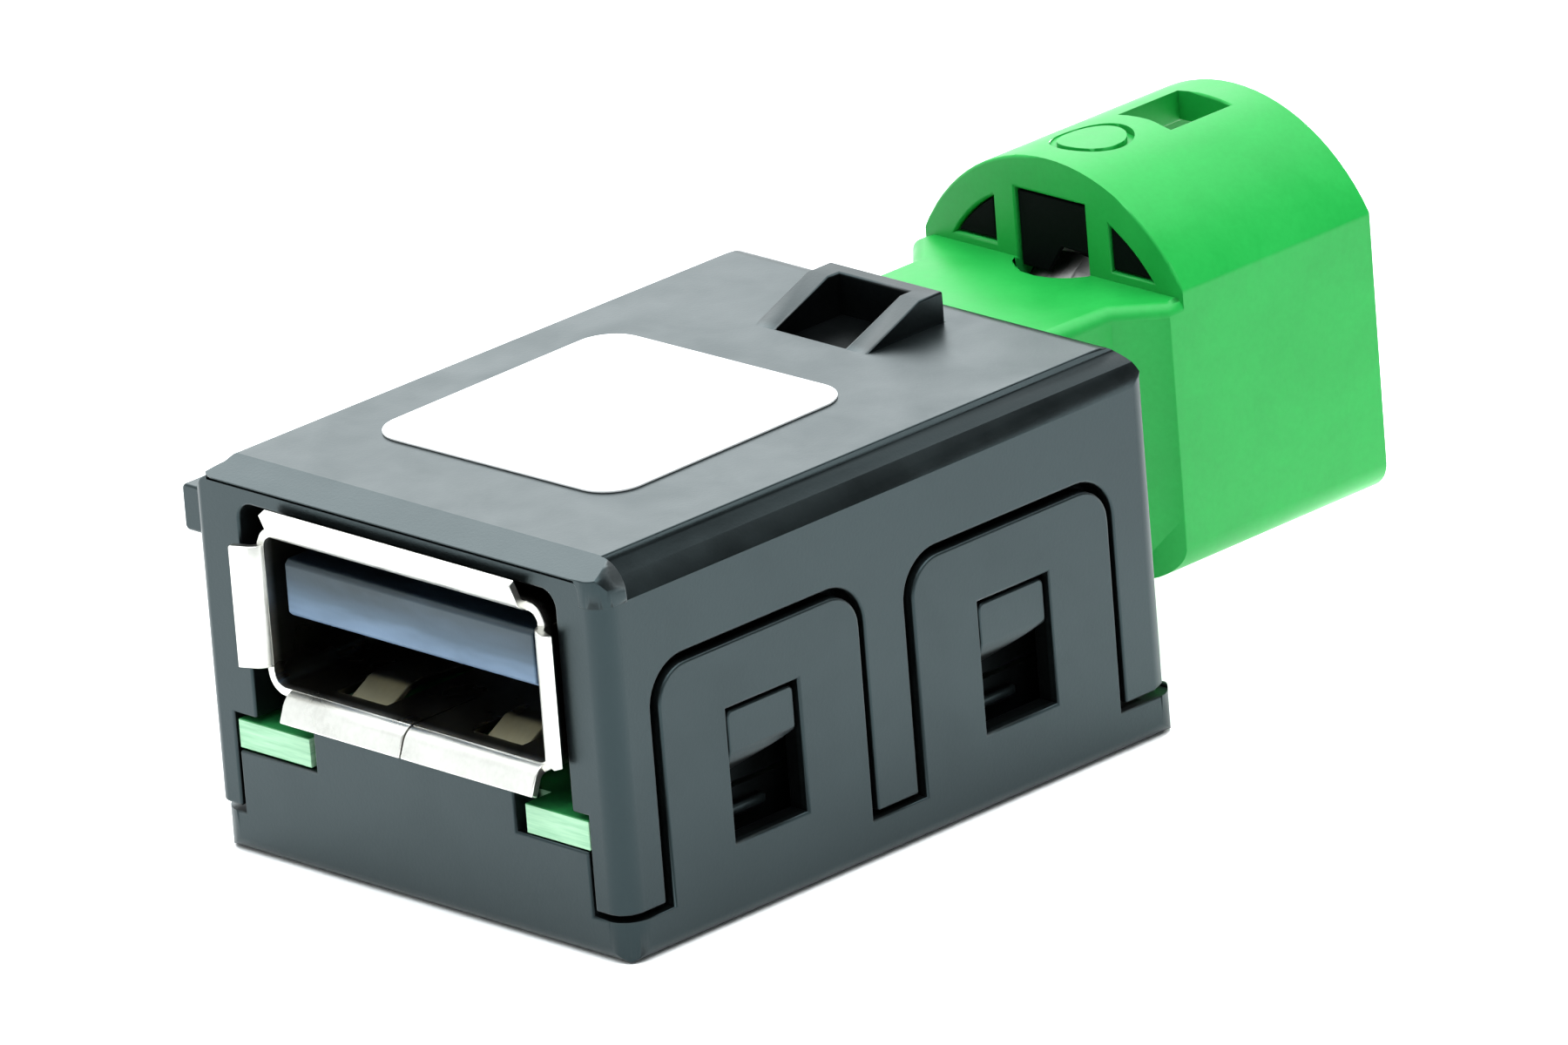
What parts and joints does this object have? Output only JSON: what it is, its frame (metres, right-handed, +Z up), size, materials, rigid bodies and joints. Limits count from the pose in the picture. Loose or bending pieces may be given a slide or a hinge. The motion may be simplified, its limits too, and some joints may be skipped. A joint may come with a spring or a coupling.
{
  "type": "car usb socket",
  "caption": "Snap-fit black housing with a type A USB receptacle at the front, a bare label on top, and a green keyed round data connector at the rear, for a vehicle console.",
  "frame": {"origin": "centre of the base's flat bottom face", "axes": "+Z up through the label, -Y out of the USB receptacle, +Y out of the rear connector, +X to the right seen from the receptacle's side"},
  "size_m": [0.0198, 0.0395, 0.0161],
  "materials": {
    "cover_plastic": "fine moulded texture",
    "base_plastic": "fine moulded texture",
    "label_film": "satin film",
    "shell_metal": "plated sheet",
    "tongue_plastic": "moulded",
    "contact_metal": "gold plated",
    "board": "solder mask over glass fibre",
    "connector_plastic": "smooth moulded",
    "shield_metal": "plated tube",
    "insulator_plastic": "moulded",
    "lock_plastic": "moulded",
    "ferrite": "sintered",
    "chip_plastic": "moulded",
    "chip_ceramic": "fired ceramic"
  },
  "bodies": {
    "root": {"upper_housing": "cover_plastic", "lower_housing": "base_plastic", "label": "label_film", "usb_shell": "shell_metal", "usb_insulator": "tongue_plastic", "usb_contact_power": "contact_metal", "usb_contact_data_minus": "contact_metal", "usb_contact_data_plus": "contact_metal", "usb_contact_ground": "contact_metal", "circuit_board": "board", "rear_connector_housing": "connector_plastic", "rear_connector_shield": "shield_metal", "rear_connector_insulator": "insulator_plastic", "rear_connector_lock": "lock_plastic", "rear_pin_power": "contact_metal", "rear_pin_data_minus": "contact_metal", "rear_pin_data_plus": "contact_metal", "rear_pin_ground": "contact_metal", "common_mode_choke": "ferrite", "esd_array": "chip_plastic", "bypass_capacitor": "chip_ceramic", "ferrite_bead": "ferrite"}
  },
  "joints": []
}
